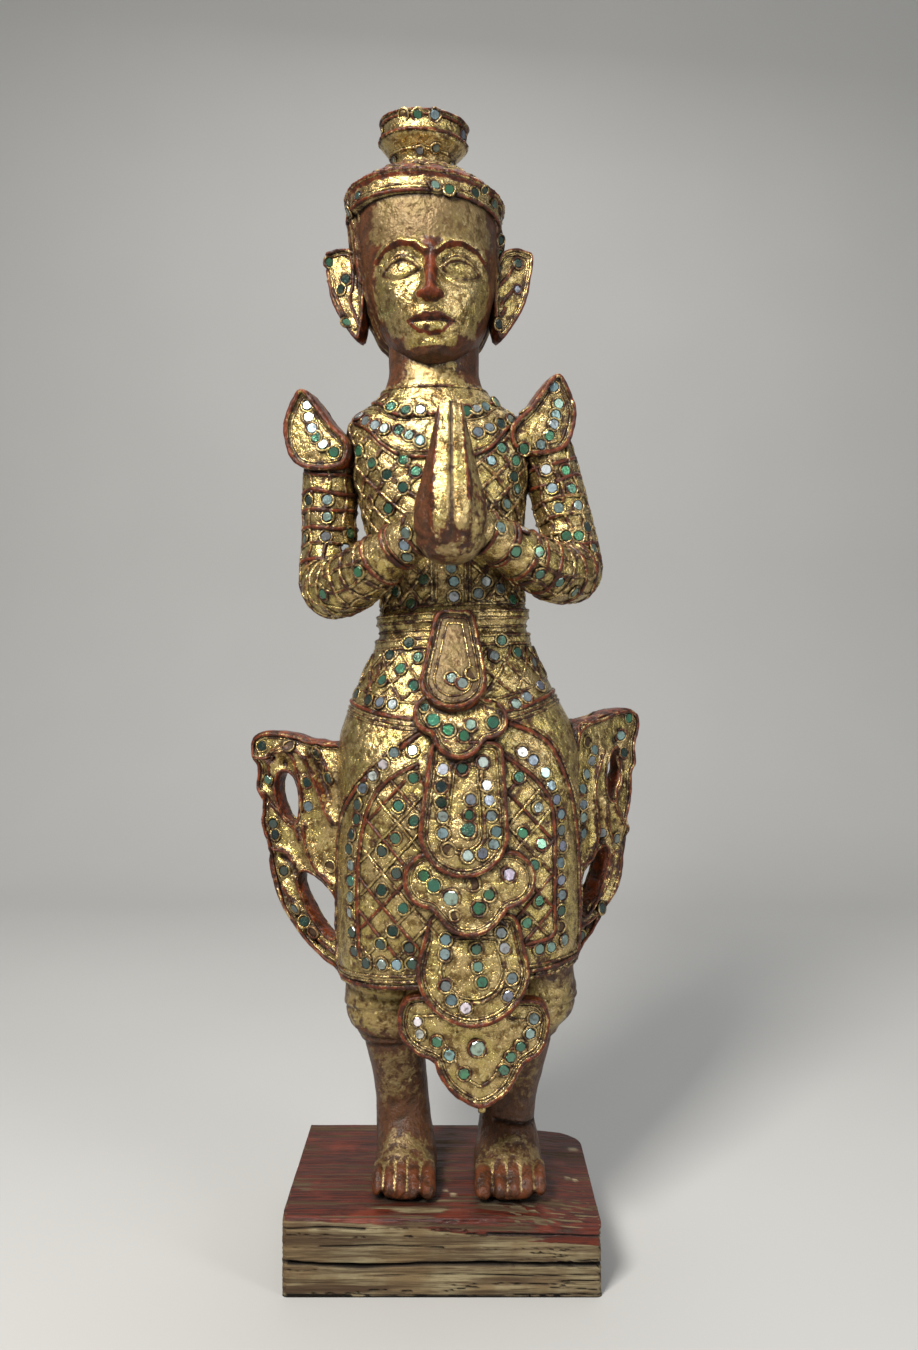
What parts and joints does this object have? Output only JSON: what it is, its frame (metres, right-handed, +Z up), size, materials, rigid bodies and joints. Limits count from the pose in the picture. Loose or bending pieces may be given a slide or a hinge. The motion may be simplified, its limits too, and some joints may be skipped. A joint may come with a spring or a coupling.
{
  "type": "thepphanom angel statue",
  "caption": "Carved and gilded standing thepphanom angel with joined palms, pierced hip wings and a weathered plank plinth.",
  "frame": {"origin": "middle of the plinth's underside", "axes": "+Z up along the figure, which faces -Y; +X is the viewer's right"},
  "size_m": [0.2199, 0.137, 0.6033],
  "materials": {
    "gilded_lacquer": "worn gold leaf over red lacquer",
    "weathered_wood": "weathered, with worn red paint on top",
    "mirror_glass": "small silvered glass tiles, green and pale blue, dulled by age"
  },
  "bodies": {
    "root": {"figure": "gilded_lacquer", "plinth": "weathered_wood"}
  },
  "joints": []
}
